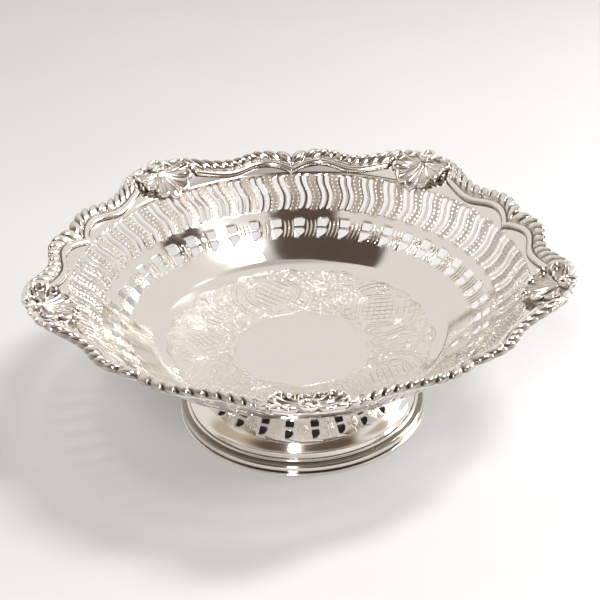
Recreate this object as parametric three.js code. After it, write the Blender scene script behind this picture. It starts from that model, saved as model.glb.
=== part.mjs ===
// Footed candy dish of silver-plated nickel silver: a pierced round bowl whose flange is cut to a
// five-cornered bracket outline, cast border strips of slanting gadroons with an inner wire, a cast
// shell over each corner, a pierced flaring foot and a moulded base ring. Everything is soldered.
// Millimetres, Z up, the axis of the dish on Z, the table at Z = 0, one corner facing -Y.
import * as THREE from "three";
import { mergeVertices } from "three/addons/utils/BufferGeometryUtils.js";

// Bracket outline of the border: reach beyond the top of the wall, bearings from the middle of a side.
const SIDES = 5;
const CORNER_REACH = 16.6;
const NOTCH_REACH = 8.6;
const BULGE_REACH = 10.9;
const BULGE_BEARING = 8;
const DIP_REACH = 8;
const DIP_BEARING = 17;
const SHOULDER_BEARING = 33;

// Middle of the border's inner wire, by its reach beyond the top of the wall.
const CORNER_WIRE = 9.7;
const NOTCH_WIRE = 0.3;
const BULGE_WIRE = 4.4;
const DIP_WIRE = 1.4;

// Solder line between pieces that touch.
const SEAT_GAP = 0.3;

// Bowl: a dished floor with a flat middle, and the wall above its edge, by the upper face of the sheet.
const BOWL_SHEET = 1;
const FLOOR_TOP = 32.4;
const FLOOR_RADIUS = 54.5;
const FLOOR_DROP = 7.4;
const FLOOR_FLAT_RADIUS = 18;
const FLOOR_SLOPE = 0.33;
const WALL_FOOT_RADIUS = 66.6;
const WALL_FOOT_RISE = 7.7;
const BAND_JOIN_RADIUS = 75.3;
const BAND_JOIN_RISE = 14.6;
const WALL_TOP_RADIUS = 88.4;
const WALL_TOP_RISE = 29.7;
const FLANGE_RISE = 7;
const FLANGE_REACH = 20;
const EDGE_INSET = 1.8;

// Upper pierced band: pairs of S-shaped slots, the narrow plain strip inside a pair at the middle.
const SLOT_PAIRS = 54;
const SLOT_WIDTH = 1.65;
const SLOT_SWAY = 1.1;
const SLOT_PLAIN_STRIP = 1.5;
const SLOT_MARGIN = 0.8;

// Lower pierced band: a square window over a pointed one.
const WINDOW_PAIRS = 45;
const SQUARE_WIDTH = 4.3;
const POINTED_WIDTH = 4.2;
const POINTED_HEIGHT = 4.2;
const WINDOW_BRIDGE = 0.9;
const WINDOW_MARGIN = 1.1;
const BAND_GAP = 2.4;

// Border strips: wire, cove and gadroon lobes.
const STRIP_HALF_BEARING = 27;
const LOBES_PER_HALF = 9;
const LOBE_LEAN = 0.45;
const LOBE_RISE = 2.1;
const LOBE_FURROW = 1.1;
const WIRE_HALF_WIDTH = 1.1;
const WIRE_RISE = 1.7;
const COVE_RISE = 0.7;
const OVERHANG_DROP = 0.2;

// Corner shells.
const SHELL_RIBS = 6;
const SHELL_EYE_INSET = 3.6;
const SHELL_LENGTH = 15;
const SHELL_HALF_SPREAD = 78;
const SHELL_SCALLOP = 0.9;
const SHELL_RISE = 3.2;
const SHELL_EDGE_RISE = 0.9;
const SHELL_EYE_RISE = 3.4;

// Foot: upper (outer) face of the sheet.
const FOOT_SHEET = 1;
const FOOT_NECK_RADIUS = 33;
const FOOT_SEAT_WIDTH = 4;
const FOOT_BAND_TOP_RADIUS = 35.8;
const FOOT_BAND_TOP_HEIGHT = 16.4;
const FOOT_BAND_BASE_RADIUS = 41.2;
const FOOT_BAND_BASE_HEIGHT = 9;
const FOOT_LIP_RADIUS = 45.6;
const FOOT_PAIRS = 24;
const FOOT_SQUARE_WIDTH = 3.2;
const FOOT_POINTED_WIDTH = 3.1;
const FOOT_POINTED_HEIGHT = 3.2;
const FOOT_WINDOW_BRIDGE = 1.5;
const FOOT_WINDOW_MARGIN = 1.1;

// Moulded base ring.
const RING_RADIUS = 50;
const RING_INNER_RADIUS = 43.2;
const RING_LEDGE = 4.2;
const RING_LIP_HEIGHT = 1;
const RING_TORUS_RADIUS = 1.7;
const RING_BEAD_RADIUS = 0.7;

const RING_FACETS = 48;
const OUTLINE_FACETS = 90;
const FIFTH = 360 / SIDES;
const HALF_SIDE = FIFTH / 2;
const CORNER_RADIUS = WALL_TOP_RADIUS + CORNER_REACH;

const silver = new THREE.MeshStandardMaterial({ color: 0xd8d6d0, roughness: 0.12, metalness: 1 });
const castSilver = new THREE.MeshStandardMaterial({ color: 0xcfcbc0, roughness: 0.22, metalness: 1 });

function radians(degrees) {
  return degrees * Math.PI / 180;
}

// A point of the dish from its radius, its bearing from -Y towards +X, and its height.
function place(radius, bearing, height) {
  const turn = radians(bearing);
  return new THREE.Vector3(radius * Math.sin(turn), -radius * Math.cos(turn), height);
}

function easeOut(from, to, share) {
  return from + (to - from) * Math.sin(share * Math.PI / 2);
}

function easeBoth(from, to, share) {
  return from + (to - from) * (1 - Math.cos(share * Math.PI)) / 2;
}

// One value that runs along a side from the middle notch over the bulge and the dip to the corner,
// which it keeps from the bearing where it is reached.
function alongSide(bearing, notch, bulge, dip, corner, reached) {
  const off = Math.abs(bearing);
  if (off < BULGE_BEARING) {
    return easeOut(notch, bulge, off / BULGE_BEARING);
  }
  if (off < DIP_BEARING) {
    return easeBoth(bulge, dip, (off - BULGE_BEARING) / (DIP_BEARING - BULGE_BEARING));
  }
  return easeBoth(dip, corner, Math.min(1, (off - DIP_BEARING) / (reached - DIP_BEARING)));
}

// Bearing measured from the middle of the nearest side; a corner lies at every multiple of a fifth.
function fromNotch(bearing) {
  const turned = ((bearing % FIFTH) + FIFTH) % FIFTH;
  return turned - HALF_SIDE;
}

function outlineRadius(bearing) {
  const off = fromNotch(bearing);
  const reach = alongSide(off, NOTCH_REACH, BULGE_REACH, DIP_REACH, CORNER_REACH, SHOULDER_BEARING);
  return WALL_TOP_RADIUS + reach;
}

function wirePath(bearing) {
  const off = fromNotch(bearing);
  return WALL_TOP_RADIUS + alongSide(off, NOTCH_WIRE, BULGE_WIRE, DIP_WIRE, CORNER_WIRE, HALF_SIDE);
}

// Profile of the upper face of the bowl from the axis to the end of the flange.
function bowlProfile() {
  const footHeight = FLOOR_TOP + WALL_FOOT_RISE;
  const topHeight = FLOOR_TOP + WALL_TOP_RISE;
  const slope = (BAND_JOIN_RISE - WALL_FOOT_RISE) / (BAND_JOIN_RADIUS - WALL_FOOT_RADIUS);
  const middle = FLOOR_TOP - FLOOR_DROP;
  const edge = new THREE.Vector2(FLOOR_RADIUS, FLOOR_TOP);
  const floor = new THREE.QuadraticBezierCurve(
    new THREE.Vector2(FLOOR_FLAT_RADIUS, middle),
    new THREE.Vector2(FLOOR_RADIUS - FLOOR_DROP / FLOOR_SLOPE, middle),
    edge,
  );
  const lift = WALL_FOOT_RISE - slope * (WALL_FOOT_RADIUS - FLOOR_RADIUS);
  const turn = lift / (FLOOR_SLOPE - slope);
  const cove = new THREE.QuadraticBezierCurve(
    edge,
    new THREE.Vector2(FLOOR_RADIUS + turn, FLOOR_TOP + turn * FLOOR_SLOPE),
    new THREE.Vector2(WALL_FOOT_RADIUS, footHeight),
  );
  const top = new THREE.Vector2(WALL_TOP_RADIUS, topHeight);
  const join = new THREE.Vector2(BAND_JOIN_RADIUS, FLOOR_TOP + BAND_JOIN_RISE);
  const bandFoot = join.clone().add(top.clone().sub(join).setLength(BAND_GAP));
  const flange = new THREE.QuadraticBezierCurve(
    top,
    new THREE.Vector2(WALL_TOP_RADIUS + FLANGE_REACH * 0.36, topHeight + FLANGE_RISE * 0.62),
    new THREE.Vector2(WALL_TOP_RADIUS + FLANGE_REACH, topHeight + FLANGE_RISE),
  );
  return [
    new THREE.Vector2(0, middle),
    ...floor.getPoints(2).slice(0, 2),
    ...cove.getPoints(3),
    join,
    bandFoot,
    ...flange.getPoints(4),
  ];
}

const bowlTop = bowlProfile();

// Height of a face at a radius, from its profile.
function heightAt(profile, radius) {
  const last = profile.length - 1;
  let i = 1;
  while (i < last && profile[i].x < radius) {
    i += 1;
  }
  const a = profile[i - 1];
  const b = profile[i];
  return a.y + (b.y - a.y) * (radius - a.x) / (b.x - a.x);
}

function bowlHeight(radius) {
  return heightAt(bowlTop, radius);
}

// The same profile moved to the other face of a sheet, to the right of its running direction.
function sheetBack(profile, sheet) {
  return profile.map((point, i) => {
    const before = profile[Math.max(i - 1, 0)];
    const after = profile[Math.min(i + 1, profile.length - 1)];
    const into = i > 0 ? point.clone().sub(before).normalize() : after.clone().sub(point).normalize();
    const out = i < profile.length - 1 ? after.clone().sub(point).normalize() : into;
    const sum = into.clone().add(out).normalize();
    const reach = sheet / sum.dot(into);
    return new THREE.Vector2(point.x + sum.y * reach, point.y - sum.x * reach);
  });
}

const bowlUnder = sheetBack(bowlTop, BOWL_SHEET);

// Make one closed body of loose triangles or of a revolved profile.
function toGeometry(geometry) {
  geometry.deleteAttribute("normal");
  geometry.deleteAttribute("uv");
  const merged = mergeVertices(geometry, 1e-5);
  const corners = merged.index.array;
  const kept = [];
  for (let i = 0; i < corners.length; i += 3) {
    const [a, b, c] = [corners[i], corners[i + 1], corners[i + 2]];
    if (a !== b && b !== c && c !== a) {
      kept.push(a, b, c);
    }
  }
  merged.setIndex(kept);
  merged.computeVertexNormals();
  return merged;
}

function fromTriangles(points) {
  const geometry = new THREE.BufferGeometry();
  geometry.setFromPoints(points);
  return toGeometry(geometry);
}

function named(name, geometry, material) {
  const mesh = new THREE.Mesh(geometry, material);
  mesh.name = name;
  return mesh;
}

// A ring of points at even bearings; the radius may change with the bearing.
function ring(count, radiusAt, heightOf) {
  const points = [];
  for (let i = 0; i < count; i += 1) {
    const bearing = i * 360 / count;
    const radius = radiusAt(bearing);
    points.push(place(radius, bearing, heightOf(radius)));
  }
  return points;
}

function circle(count, point) {
  return ring(count, () => point.x, () => point.y);
}

function add(triangles, a, b, c, flip) {
  triangles.push(a, flip ? c : b, flip ? b : c);
}

// Sew an inner ring to an outer one, whose counts may differ; seen from above unless flipped.
function sewRings(triangles, inner, outer, flip) {
  const n = inner.length;
  const m = outer.length;
  let i = 0;
  let j = 0;
  while (i < n || j < m) {
    if (j >= m || (i < n && (i + 1) / n <= (j + 1) / m)) {
      add(triangles, inner[i % n], outer[j % m], inner[(i + 1) % n], flip);
      i += 1;
    } else {
      add(triangles, inner[i % n], outer[j % m], outer[(j + 1) % m], flip);
      j += 1;
    }
  }
}

function fan(triangles, middle, outer, flip) {
  outer.forEach((point, i) => {
    add(triangles, middle, point, outer[(i + 1) % outer.length], flip);
  });
}

// One flat facet of a sheet, pierced by outlines drawn about its middle, with the walls of the holes.
function pierceFacet(triangles, face, back, outlines) {
  const [low0, low1, high0, high1] = face;
  const middle = low0.clone().add(low1).add(high0).add(high1).multiplyScalar(0.25);
  const along = low0.clone().sub(low1).normalize();
  const rise = high0.clone().add(high1).sub(low0).sub(low1);
  const normal = along.clone().cross(rise).normalize();
  const up = normal.clone().cross(along);
  const sheet = low0.clone().sub(back[0]).dot(normal);
  const flat = (p) => new THREE.Vector2(p.clone().sub(middle).dot(along), p.clone().sub(middle).dot(up));
  const front = (p) => middle.clone().addScaledVector(along, p.x).addScaledVector(up, p.y);
  const rear = (p) => front(p).addScaledVector(normal, -sheet);
  const edges = (corners) => [corners[0], corners[1], corners[3], corners[2]];
  const fill = (corners, project, flip) => {
    const contour = edges(corners).map(flat);
    const flatPoints = [...contour, ...outlines.flat()];
    const points = [...edges(corners), ...outlines.flat().map(project)];
    for (const [a, b, c] of THREE.ShapeUtils.triangulateShape(contour, outlines)) {
      const ab = flatPoints[b].clone().sub(flatPoints[a]);
      const ac = flatPoints[c].clone().sub(flatPoints[a]);
      add(triangles, points[a], points[b], points[c], flip !== (ab.cross(ac) < 0));
    }
  };
  fill(face, front, false);
  fill(back, rear, true);
  for (const outline of outlines) {
    outline.forEach((point, i) => {
      const next = outline[(i + 1) % outline.length];
      triangles.push(front(point), front(next), rear(next));
      triangles.push(front(point), rear(next), rear(point));
    });
  }
}

// A row of facets between two rings and their backs; each facet gets the outlines meant for it.
function pierceRow(triangles, low, high, backLow, backHigh, outlinesOf) {
  const count = low.length;
  for (let i = 0; i < count; i += 1) {
    const j = (i + 1) % count;
    const face = [low[i], low[j], high[i], high[j]];
    const back = [backLow[i], backLow[j], backHigh[i], backHigh[j]];
    pierceFacet(triangles, face, back, outlinesOf(i));
  }
}

// An S-shaped slot beside the plain strip in the middle of a facet.
function slotOutline(side, length) {
  const right = [];
  const left = [];
  for (const share of [-0.5, -0.25, 0.25, 0.5]) {
    const middle = side * (SLOT_PLAIN_STRIP + SLOT_WIDTH) / 2;
    const sway = -SLOT_SWAY * Math.sin(share * Math.PI * 2);
    const half = SLOT_WIDTH / 2 * (Math.abs(share) === 0.5 ? 0.6 : 1);
    right.push(new THREE.Vector2(middle + sway + half, share * length));
    left.unshift(new THREE.Vector2(middle + sway - half, share * length));
  }
  return [...right, ...left];
}

// A square window over a pointed one, filling a row between its margins.
function windowOutlines(length, margin, bridge, squareWidth, pointedWidth, pointedHeight) {
  const base = -length / 2 + margin;
  const shoulder = base + pointedHeight;
  const sill = shoulder + bridge;
  const top = length / 2 - margin;
  return [
    [
      new THREE.Vector2(-squareWidth * 0.44, sill),
      new THREE.Vector2(squareWidth * 0.44, sill),
      new THREE.Vector2(squareWidth / 2, top),
      new THREE.Vector2(-squareWidth / 2, top),
    ],
    [
      new THREE.Vector2(0, base),
      new THREE.Vector2(pointedWidth / 2, base + pointedHeight * 0.65),
      new THREE.Vector2(pointedWidth * 0.3, shoulder),
      new THREE.Vector2(-pointedWidth * 0.3, shoulder),
      new THREE.Vector2(-pointedWidth / 2, base + pointedHeight * 0.65),
    ],
  ];
}

// The pierced bowl, one sheet: dished floor, cove, two pierced bands and the flange cut to the outline.
function makeBowl() {
  const triangles = [];
  const skin = (profile, flip) => {
    const rings = profile.slice(1, 8).map((point) => circle(WINDOW_PAIRS, point));
    fan(triangles, place(0, 0, profile[0].y), rings[0], flip);
    for (let i = 0; i < 5; i += 1) {
      sewRings(triangles, rings[i], rings[i + 1], flip);
    }
    const bandFoot = circle(SLOT_PAIRS, profile[8]);
    const bandTop = circle(SLOT_PAIRS, profile[9]);
    sewRings(triangles, rings[6], bandFoot, flip);
    const brim = [0.3, 0.65, 1].map((share) => ring(
      OUTLINE_FACETS,
      (bearing) => {
        const edge = outlineRadius(bearing) - EDGE_INSET;
        return profile[9].x + (edge - profile[9].x) * share;
      },
      (radius) => heightAt(profile, radius),
    ));
    sewRings(triangles, bandTop, brim[0], flip);
    sewRings(triangles, brim[0], brim[1], flip);
    sewRings(triangles, brim[1], brim[2], flip);
    return { low: [rings[5], bandFoot], high: [rings[6], bandTop], edge: brim[2] };
  };
  const face = skin(bowlTop, false);
  const rear = skin(bowlUnder, true);
  const windowRow = bowlTop[7].distanceTo(bowlTop[6]);
  const windows = windowOutlines(
    windowRow, WINDOW_MARGIN, WINDOW_BRIDGE, SQUARE_WIDTH, POINTED_WIDTH, POINTED_HEIGHT,
  );
  pierceRow(triangles, face.low[0], face.high[0], rear.low[0], rear.high[0], () => windows);
  const slotLength = bowlTop[9].distanceTo(bowlTop[8]) - 2 * SLOT_MARGIN;
  const slots = [slotOutline(-1, slotLength), slotOutline(1, slotLength)];
  pierceRow(triangles, face.low[1], face.high[1], rear.low[1], rear.high[1], () => slots);
  sewRings(triangles, face.edge, rear.edge, false);
  return fromTriangles(triangles);
}

// Sew two rows of points; the second row may have a whole multiple of the first row's spans.
function sew(triangles, first, second) {
  const ratio = (second.length - 1) / (first.length - 1);
  for (let i = 0; i < first.length - 1; i += 1) {
    const turn = Math.ceil(ratio / 2);
    for (let j = 0; j < ratio; j += 1) {
      const k = i * ratio + j;
      triangles.push(j < turn ? first[i] : first[i + 1], second[k + 1], second[k]);
    }
    triangles.push(first[i], first[i + 1], second[i * ratio + turn]);
  }
}

function sewBack(triangles, first, second) {
  const flipped = [];
  sew(flipped, first, second);
  for (let i = 0; i < flipped.length; i += 3) {
    triangles.push(flipped[i], flipped[i + 2], flipped[i + 1]);
  }
}

// Close the end of a strip, whose rows all end in one upright plane.
function closeEnd(triangles, loop, bearing, flip) {
  const turn = radians(bearing);
  const flat = loop.map((p) => new THREE.Vector2(p.x * Math.sin(turn) - p.y * Math.cos(turn), p.z));
  for (const [a, b, c] of THREE.ShapeUtils.triangulateShape(flat, [])) {
    triangles.push(loop[a], flip ? loop[c] : loop[b], flip ? loop[b] : loop[c]);
  }
}

// A cast border strip between two shells, lofted along the outline with lobes that lean off the notch.
function makeStrip(side) {
  const middle = side * FIFTH + HALF_SIDE;
  const pitch = STRIP_HALF_BEARING / LOBES_PER_HALF;
  const spans = LOBES_PER_HALF * 2;
  const toe = [];
  const wire = [];
  const cove = [];
  const seat = [];
  const bed = [];
  for (let i = 0; i <= spans; i += 1) {
    const bearing = middle + STRIP_HALF_BEARING - i * pitch;
    const outer = outlineRadius(bearing);
    const wireRadius = wirePath(bearing);
    const rise = (radius) => bowlHeight(radius) + SEAT_GAP;
    const foot = wireRadius - WIRE_HALF_WIDTH;
    const inside = Math.max(foot, Math.min(WALL_TOP_RADIUS, wireRadius - WIRE_HALF_WIDTH / 3));
    const behind = wireRadius + WIRE_HALF_WIDTH;
    const edge = outer - EDGE_INSET + SEAT_GAP;
    toe.push(place(inside, bearing, rise(inside)));
    wire.push(place(wireRadius, bearing, rise(wireRadius) + WIRE_RISE));
    cove.push(place(behind, bearing, rise(behind) + COVE_RISE));
    seat.push(place(edge, bearing, rise(edge)));
    bed.push(place(behind, bearing, rise(behind)));
  }
  const shoulder = [];
  const crown = [];
  const rim = [];
  for (let i = 0; i <= spans * 3; i += 1) {
    const off = STRIP_HALF_BEARING - i * pitch / 3;
    const lean = LOBE_LEAN * pitch * Math.sin(off / STRIP_HALF_BEARING * Math.PI);
    const swell = i % 3 === 0 ? 0 : 1;
    const inner = middle + off + lean * 0.3;
    const behind = wirePath(inner) + WIRE_HALF_WIDTH;
    const lobe = outlineRadius(inner) - behind;
    const near = behind + lobe * 0.3;
    const nearRise = SEAT_GAP + COVE_RISE + LOBE_RISE * 0.75 - LOBE_FURROW * 0.6 * (1 - swell);
    shoulder.push(place(near, inner, bowlHeight(near) + nearRise));
    const outer = middle + off + lean * 0.8;
    const far = outlineRadius(outer) - lobe * 0.22;
    const farRise = SEAT_GAP + COVE_RISE + LOBE_RISE - LOBE_FURROW * (1 - swell);
    crown.push(place(far, outer, bowlHeight(far) + farRise));
    const end = middle + off + lean;
    const last = outlineRadius(end) - LOBE_FURROW * 0.6 * (1 - swell);
    rim.push(place(last, end, bowlHeight(last) - OVERHANG_DROP));
  }
  const triangles = [];
  sew(triangles, toe, wire);
  sew(triangles, wire, cove);
  sew(triangles, cove, shoulder);
  sew(triangles, shoulder, crown);
  sew(triangles, crown, rim);
  sewBack(triangles, seat, rim);
  sew(triangles, seat, bed);
  sew(triangles, bed, toe);
  const rows = [toe, wire, cove, shoulder, crown, rim, seat, bed];
  closeEnd(triangles, rows.map((row) => row[0]), middle + STRIP_HALF_BEARING, true);
  closeEnd(triangles, rows.map((row) => row[row.length - 1]), middle - STRIP_HALF_BEARING, false);
  return fromTriangles(triangles);
}

// How far a shell may reach from its eye in one direction before the outline, a strip's end or the wall.
function shellReach(eye, corner, direction) {
  const limit = HALF_SIDE - STRIP_HALF_BEARING;
  let reach = 0;
  while (reach < SHELL_LENGTH) {
    const spot = eye.clone().addScaledVector(direction, reach + SEAT_GAP);
    const bearing = THREE.MathUtils.radToDeg(Math.atan2(spot.x, -spot.y)) - corner;
    const off = ((bearing + 540) % 360) - 180;
    const radius = Math.hypot(spot.x, spot.y);
    const outside = radius > outlineRadius(corner + off) + SEAT_GAP;
    if (Math.abs(off) > limit || outside || radius < WALL_TOP_RADIUS) {
      break;
    }
    reach += 0.05;
  }
  return reach;
}

// A cast fan shell: ribs spread inward from an eye near the tip of the corner.
function makeShell(side) {
  const corner = side * FIFTH;
  const eye = place(CORNER_RADIUS - SHELL_EYE_INSET, corner, 0);
  const inward = place(-1, corner, 0);
  const across = place(1, corner + 90, 0);
  const fan = SHELL_RIBS * 2;
  const back = 9;
  const columns = fan + back;
  const shares = [0.2, 0.6, 0.87, 1];
  const tops = shares.map(() => []);
  const seats = [0.45, 0.87, 1].map(() => []);
  for (let i = 0; i < columns; i += 1) {
    const inFan = i <= fan;
    const sweep = (360 - 2 * SHELL_HALF_SPREAD) / back;
    const turn = inFan ? (i / SHELL_RIBS - 1) * SHELL_HALF_SPREAD : SHELL_HALF_SPREAD + (i - fan) * sweep;
    const direction = inward.clone().multiplyScalar(Math.cos(radians(turn)));
    direction.addScaledVector(across, Math.sin(radians(turn)));
    const crest = inFan && i % 2 === 1 ? 1 : 0;
    const trimmed = shellReach(eye, corner, direction) - (crest === 1 ? 0 : SHELL_SCALLOP);
    const ribbed = inFan ? SHELL_RISE * (crest === 1 ? 1 : 0.68) : SHELL_RISE * 0.7;
    const rises = [SHELL_RISE * 0.72, ribbed, ribbed * 0.8, SHELL_EDGE_RISE];
    shares.forEach((share, row) => {
      const spot = eye.clone().addScaledVector(direction, trimmed * share);
      spot.z = bowlHeight(Math.hypot(spot.x, spot.y)) + SEAT_GAP + rises[row];
      tops[row].push(spot);
    });
    [0.45, 0.87, 1].forEach((share, row) => {
      const spot = eye.clone().addScaledVector(direction, trimmed * share);
      spot.z = bowlHeight(Math.hypot(spot.x, spot.y)) + SEAT_GAP;
      seats[row].push(spot);
    });
  }
  for (const row of [...tops, ...seats]) {
    row.push(row[0]);
  }
  const base = bowlHeight(CORNER_RADIUS - SHELL_EYE_INSET) + SEAT_GAP;
  const boss = eye.clone().setZ(base + SHELL_EYE_RISE);
  const under = eye.clone().setZ(base);
  const triangles = [];
  for (let i = 0; i < columns; i += 1) {
    triangles.push(boss, tops[0][i + 1], tops[0][i]);
    triangles.push(under, seats[0][i], seats[0][i + 1]);
  }
  const skins = [...tops, seats[2], seats[1], seats[0]];
  for (let row = 0; row < skins.length - 1; row += 1) {
    sew(triangles, skins[row], skins[row + 1]);
  }
  return fromTriangles(triangles);
}

// Outer face of the foot from the seat under the bowl to the lip on the base ring.
function footProfile() {
  const seatRadius = FOOT_NECK_RADIUS - FOOT_SEAT_WIDTH;
  const seat = heightAt(bowlUnder, seatRadius) - SEAT_GAP;
  const top = heightAt(bowlUnder, FOOT_NECK_RADIUS) - SEAT_GAP;
  const lip = RING_LEDGE + SEAT_GAP + FOOT_SHEET;
  const neck = new THREE.QuadraticBezierCurve(
    new THREE.Vector2(FOOT_NECK_RADIUS, top),
    new THREE.Vector2(FOOT_NECK_RADIUS, FOOT_BAND_TOP_HEIGHT + (top - FOOT_BAND_TOP_HEIGHT) * 0.36),
    new THREE.Vector2(FOOT_BAND_TOP_RADIUS, FOOT_BAND_TOP_HEIGHT),
  );
  const flare = new THREE.QuadraticBezierCurve(
    new THREE.Vector2(FOOT_BAND_BASE_RADIUS, FOOT_BAND_BASE_HEIGHT),
    new THREE.Vector2(FOOT_BAND_BASE_RADIUS + (FOOT_LIP_RADIUS - FOOT_BAND_BASE_RADIUS) * 0.5, lip + 1.2),
    new THREE.Vector2(FOOT_LIP_RADIUS, lip),
  );
  return [
    new THREE.Vector2(seatRadius, seat),
    ...neck.getPoints(2),
    ...flare.getPoints(2),
  ];
}

// The pierced foot, one sheet with its seat turned in under the bowl.
function makeFoot() {
  const profile = footProfile();
  const back = sheetBack(profile, FOOT_SHEET);
  back[back.length - 1].set(FOOT_LIP_RADIUS, RING_LEDGE + SEAT_GAP);
  const facets = FOOT_PAIRS * 2;
  const face = profile.map((point) => circle(facets, point));
  const rear = back.map((point) => circle(facets, point));
  const triangles = [];
  const band = 3;
  for (let i = 0; i < face.length - 1; i += 1) {
    if (i !== band) {
      sewRings(triangles, face[i], face[i + 1], false);
      sewRings(triangles, rear[i], rear[i + 1], true);
    }
  }
  const row = profile[band].distanceTo(profile[band + 1]);
  const windows = windowOutlines(
    row, FOOT_WINDOW_MARGIN, FOOT_WINDOW_BRIDGE, FOOT_SQUARE_WIDTH, FOOT_POINTED_WIDTH, FOOT_POINTED_HEIGHT,
  );
  const upside = windows.map((outline) => outline.map((point) => point.clone().negate()));
  const some = (i) => (i % 2 === 0 ? upside : []);
  pierceRow(triangles, face[band], face[band + 1], rear[band], rear[band + 1], some);
  sewRings(triangles, rear[0], face[0], false);
  sewRings(triangles, face[face.length - 1], rear[rear.length - 1], false);
  return fromTriangles(triangles);
}

// Base ring: bottom lip, wide torus, small bead, and a ledge inside the bead for the foot.
function makeRing() {
  const shelf = FOOT_LIP_RADIUS + SEAT_GAP;
  const torusHeight = RING_LIP_HEIGHT + 0.3 + RING_TORUS_RADIUS * 0.85;
  const torusMiddle = RING_RADIUS - 0.4 - RING_TORUS_RADIUS;
  const profile = [
    new THREE.Vector2(RING_INNER_RADIUS, 0),
    new THREE.Vector2(RING_RADIUS, 0),
    new THREE.Vector2(RING_RADIUS, RING_LIP_HEIGHT),
  ];
  for (const turn of [-55, -20, 20, 60]) {
    profile.push(new THREE.Vector2(
      torusMiddle + RING_TORUS_RADIUS * Math.cos(radians(turn)),
      torusHeight + RING_TORUS_RADIUS * Math.sin(radians(turn)),
    ));
  }
  const beadMiddle = shelf + RING_BEAD_RADIUS;
  const beadHeight = torusHeight + RING_TORUS_RADIUS * Math.sin(radians(60)) + RING_BEAD_RADIUS * 0.8;
  for (const turn of [-20, 60, 120, 180]) {
    profile.push(new THREE.Vector2(
      beadMiddle + RING_BEAD_RADIUS * Math.cos(radians(turn)),
      beadHeight + RING_BEAD_RADIUS * Math.sin(radians(turn)),
    ));
  }
  profile.push(new THREE.Vector2(shelf, RING_LEDGE));
  profile.push(new THREE.Vector2(RING_INNER_RADIUS, RING_LEDGE));
  profile.push(new THREE.Vector2(RING_INNER_RADIUS, 0));
  const geometry = new THREE.LatheGeometry(profile, RING_FACETS);
  geometry.rotateX(Math.PI / 2);
  return toGeometry(geometry);
}

const dish = new THREE.Group();
dish.name = "candy_dish";
dish.add(named("bowl", makeBowl(), silver));
for (let side = 0; side < SIDES; side += 1) {
  dish.add(named(`border_strip_${side + 1}`, makeStrip(side), castSilver));
  dish.add(named(`shell_${side + 1}`, makeShell(side), castSilver));
}
dish.add(named("foot", makeFoot(), silver));
dish.add(named("base_ring", makeRing(), silver));

export default dish;
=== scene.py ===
import math
import random

import bpy
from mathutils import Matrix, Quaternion, Vector
from mathutils.kdtree import KDTree


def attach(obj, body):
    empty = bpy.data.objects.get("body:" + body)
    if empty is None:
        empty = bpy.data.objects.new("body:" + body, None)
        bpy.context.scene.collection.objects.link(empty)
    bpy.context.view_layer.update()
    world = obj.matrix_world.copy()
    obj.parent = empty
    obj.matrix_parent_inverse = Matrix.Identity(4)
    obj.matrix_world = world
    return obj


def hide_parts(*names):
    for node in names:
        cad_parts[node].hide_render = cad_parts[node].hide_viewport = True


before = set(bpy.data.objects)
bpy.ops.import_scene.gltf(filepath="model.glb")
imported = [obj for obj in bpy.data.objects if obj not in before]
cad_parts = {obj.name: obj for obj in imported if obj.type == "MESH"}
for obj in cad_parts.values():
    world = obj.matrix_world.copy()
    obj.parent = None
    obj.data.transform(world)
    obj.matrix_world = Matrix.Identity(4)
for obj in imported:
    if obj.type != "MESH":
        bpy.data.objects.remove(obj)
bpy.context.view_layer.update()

# Camera: it looks down over the front shell corner at about 31 degrees, from a little left of the
# middle and slightly rolled, as a hand-held camera is.
MM = 0.001
SENSOR_WIDTH = 36
LENS = 73.98
CAMERA_PLACE = (-8.02, -416.04, 294.30)
CAMERA_TURN = (59.350, 1.460, -1.990)
camera_data = bpy.data.cameras.new("camera")
camera_data.sensor_width = SENSOR_WIDTH
camera_data.lens = LENS
camera = bpy.data.objects.new("camera", camera_data)
camera.location = [distance * MM for distance in CAMERA_PLACE]
camera.rotation_euler = [math.radians(angle) for angle in CAMERA_TURN]
bpy.context.collection.objects.link(camera)
bpy.context.scene.camera = camera
bpy.context.scene.view_settings.view_transform = "Standard"


# Table: a plain pale top with a faint cloudiness, large enough to fill the camera's view. It lies a
# hair under the dish, so that the two do not flicker.
def linear(hex_colour):
    channels = [int(hex_colour[i:i + 2], 16) / 255 for i in (1, 3, 5)]
    return [c / 12.92 if c <= 0.04045 else ((c + 0.055) / 1.055) ** 2.4 for c in channels] + [1]


def add_node(tree, kind, inputs=None, **settings):
    """A node with its settings; an input is a value, or a socket that is linked to it."""
    made = tree.nodes.new(kind)
    for key, value in settings.items():
        setattr(made, key, value)
    for key, value in (inputs or {}).items():
        if isinstance(value, bpy.types.NodeSocket):
            tree.links.new(value, made.inputs[key])
        else:
            made.inputs[key].default_value = value
    return made


def mixed(tree, factor, first, second):
    """A colour between two others."""
    inputs = {"Factor": factor, 6: first, 7: second}
    return add_node(tree, "ShaderNodeMix", inputs, data_type="RGBA").outputs[2]


def new_material(name):
    material = bpy.data.materials.new(name)
    material.use_nodes = True
    tree = material.node_tree
    return material, tree, tree.nodes["Principled BSDF"]


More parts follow.
